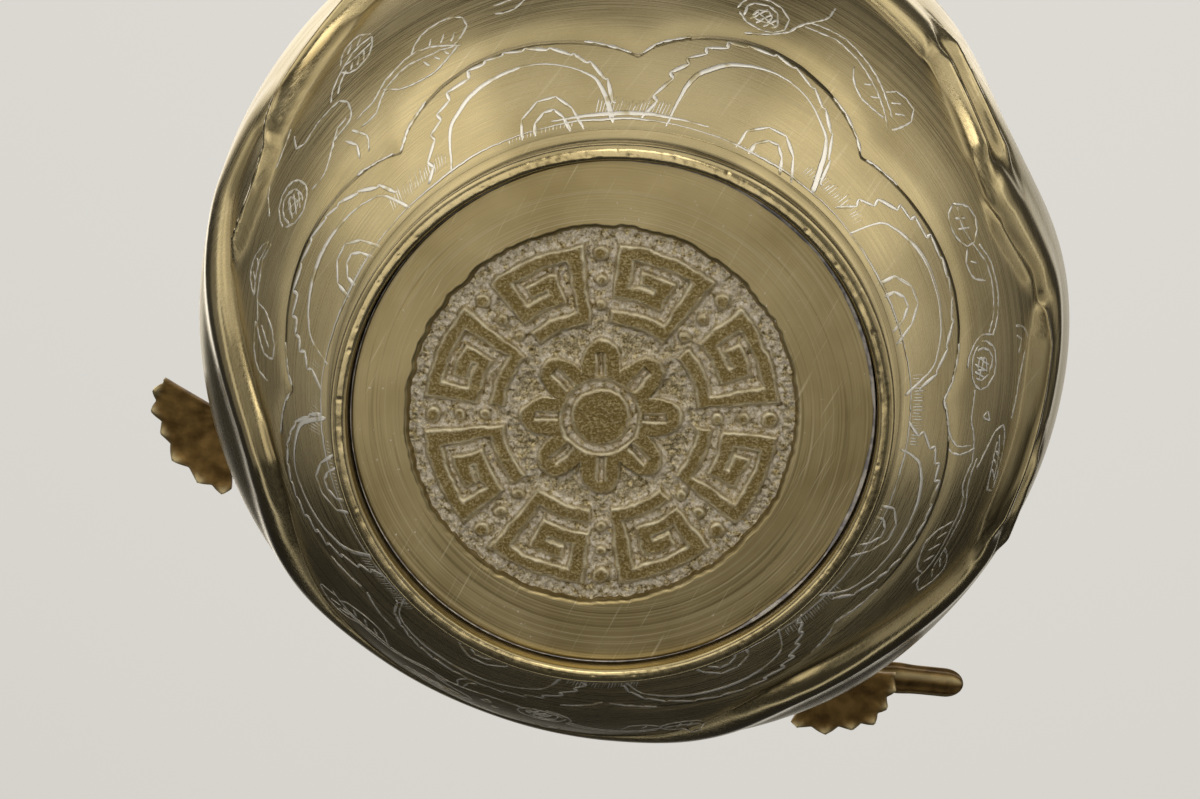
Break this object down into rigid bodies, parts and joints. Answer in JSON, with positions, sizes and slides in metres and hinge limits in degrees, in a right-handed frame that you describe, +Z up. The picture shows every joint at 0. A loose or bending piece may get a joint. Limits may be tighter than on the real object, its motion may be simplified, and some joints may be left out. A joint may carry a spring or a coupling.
{
  "type": "vase",
  "caption": "Round-bellied brass vase on a turned foot ring, with a flared neck, a rolled lip and leafy sprays soldered to the shoulder. It stands free and holds stems or water.",
  "frame": {"origin": "on the vase's axis, in the plane that the foot ring stands on", "axes": "+Z up the axis to the mouth; +X and +Y level, with the front spray near azimuth 280 degrees from +X towards +Y"},
  "size_m": [0.159, 0.1682, 0.2377],
  "materials": {
    "gilt_brass": "hand polished and chased",
    "turned_brass": "turned, satin",
    "cast_brass": "as cast, worn bright at its edges",
    "soft_solder": "dull"
  },
  "bodies": {
    "root": {"foot_ring": "gilt_brass", "base_plate": "turned_brass", "base_solder": "soft_solder", "lower_bowl": "gilt_brass", "shoulder": "gilt_brass", "neck": "gilt_brass", "mouth_rim": "gilt_brass", "branch_left": "cast_brass", "leaf_low_left": "cast_brass", "leaf_middle_left": "cast_brass", "leaf_high_left": "cast_brass", "blossom_left": "cast_brass", "branch_right": "cast_brass", "leaf_low_right": "cast_brass", "leaf_middle_right": "cast_brass", "leaf_high_right": "cast_brass", "blossom_right": "cast_brass", "branch_front": "cast_brass", "leaf_low_front": "cast_brass", "leaf_middle_front": "cast_brass", "leaf_high_front": "cast_brass", "blossom_front": "cast_brass"}
  },
  "joints": []
}
